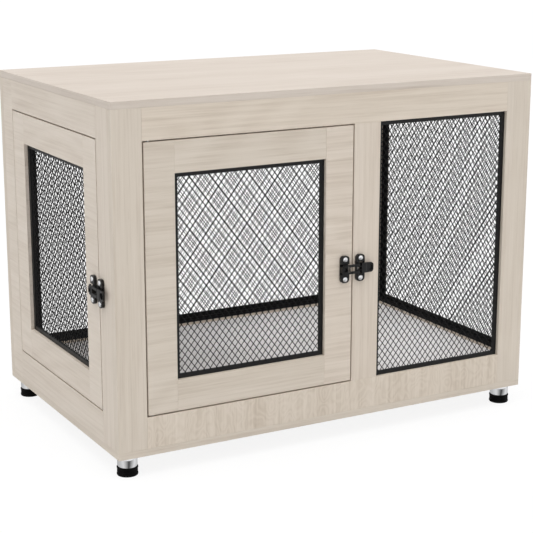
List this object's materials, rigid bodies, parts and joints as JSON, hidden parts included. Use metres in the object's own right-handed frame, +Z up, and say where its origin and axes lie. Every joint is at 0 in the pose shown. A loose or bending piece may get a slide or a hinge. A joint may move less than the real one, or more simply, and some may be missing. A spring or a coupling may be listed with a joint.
{
  "type": "dog crate end table",
  "caption": "Cabinet-style dog crate with wire mesh windows, a framed mesh door at the front and one at the side, draw latches, a flat table top and levelling feet.",
  "frame": {"origin": "on the floor, at the centre of the whole object's outline, with the two latches that stand proud counted in it", "axes": "+X right along the front, seen from in front; +Y from the front to the back; +Z up"},
  "size_m": [0.81, 0.515, 0.6085],
  "materials": {
    "oak": "pale oak-look laminate, satin",
    "floor_grey": "light grey laminate, satin",
    "mesh_black": "black powder coat",
    "latch_black": "black, satin",
    "chrome": "polished",
    "pin_steel": "plain bright steel",
    "pad_rubber": "matt black"
  },
  "bodies": {
    "cabinet": {"top_board": "oak", "bottom_board": "oak", "floor_panel": "floor_grey", "floor_bearer_front": "oak", "floor_bearer_rear": "oak", "front_left_post": "oak", "front_right_post": "oak", "front_top_rail": "oak", "front_bottom_rail": "oak", "front_mid_stile": "oak", "front_mesh_panel": "mesh_black", "left_rear_stile": "oak", "left_front_stile": "oak", "left_top_rail": "oak", "left_bottom_rail": "oak", "right_front_stile": "oak", "right_rear_stile": "oak", "right_top_rail": "oak", "right_bottom_rail": "oak", "right_mesh_panel": "mesh_black", "back_right_post": "oak", "back_left_post": "oak", "back_top_rail": "oak", "back_bottom_rail": "oak", "back_mesh_panel": "mesh_black", "front_door_top_pin": "pin_steel", "front_door_bottom_pin": "pin_steel", "front_door_stop": "oak", "side_door_top_pin": "pin_steel", "side_door_bottom_pin": "pin_steel", "side_door_stop": "oak", "front_latch_post_plate": "latch_black", "front_latch_lever_pin": "pin_steel", "side_latch_post_plate": "latch_black", "side_latch_lever_pin": "pin_steel", "front_left_foot_tube": "chrome", "front_right_foot_tube": "chrome", "rear_left_foot_tube": "chrome", "rear_right_foot_tube": "chrome"},
    "front_door": {"front_door_hinge_stile": "oak", "front_door_latch_stile": "oak", "front_door_top_rail": "oak", "front_door_bottom_rail": "oak", "front_door_mesh_panel": "mesh_black", "front_latch_door_plate": "latch_black"},
    "side_door": {"side_door_hinge_stile": "oak", "side_door_latch_stile": "oak", "side_door_top_rail": "oak", "side_door_bottom_rail": "oak", "side_door_mesh_panel": "mesh_black", "side_latch_door_plate": "latch_black"},
    "front_bail": {"front_latch_bail": "latch_black"},
    "front_lever": {"front_latch_lever": "latch_black"},
    "side_bail": {"side_latch_bail": "latch_black"},
    "side_lever": {"side_latch_lever": "latch_black"},
    "front_left_pad": {"front_left_foot_pad": "pad_rubber"},
    "front_right_pad": {"front_right_foot_pad": "pad_rubber"},
    "rear_left_pad": {"rear_left_foot_pad": "pad_rubber"},
    "rear_right_pad": {"rear_right_foot_pad": "pad_rubber"}
  },
  "joints": [
    {"name": "front_door_hinge", "type": "hinge", "parent": "cabinet", "child": "front_door", "pos_m": [-0.3325, -0.2425, 0.3225], "axis": [0, 0, -1], "range_deg": [0, 110]},
    {"name": "side_door_hinge", "type": "hinge", "parent": "cabinet", "child": "side_door", "pos_m": [-0.39, 0.185, 0.3225], "axis": [0, 0, -1], "range_deg": [0, 110]},
    {"name": "front_bail_swing", "type": "hinge", "parent": "front_door", "child": "front_bail", "pos_m": [0.01775, -0.2545, 0.3005], "axis": [0, 0, -1], "range_deg": [0, 150]},
    {"name": "front_lever_flip", "type": "hinge", "parent": "cabinet", "child": "front_lever", "pos_m": [0.0465, -0.2517, 0.3005], "axis": [0, 0, -1], "range_deg": [0, 90]},
    {"name": "side_bail_swing", "type": "hinge", "parent": "side_door", "child": "side_bail", "pos_m": [-0.402, -0.16425, 0.3005], "axis": [0, 0, -1], "range_deg": [0, 150]},
    {"name": "side_lever_flip", "type": "hinge", "parent": "cabinet", "child": "side_lever", "pos_m": [-0.3992, -0.193, 0.3005], "axis": [0, 0, -1], "range_deg": [0, 90]},
    {"name": "front_left_pad_screw", "type": "slide", "parent": "cabinet", "child": "front_left_pad", "axis": [0, 0, -1], "range_m": [0, 0.008]},
    {"name": "front_right_pad_screw", "type": "slide", "parent": "cabinet", "child": "front_right_pad", "axis": [0, 0, -1], "range_m": [0, 0.008]},
    {"name": "rear_left_pad_screw", "type": "slide", "parent": "cabinet", "child": "rear_left_pad", "axis": [0, 0, -1], "range_m": [0, 0.008]},
    {"name": "rear_right_pad_screw", "type": "slide", "parent": "cabinet", "child": "rear_right_pad", "axis": [0, 0, -1], "range_m": [0, 0.008]}
  ]
}
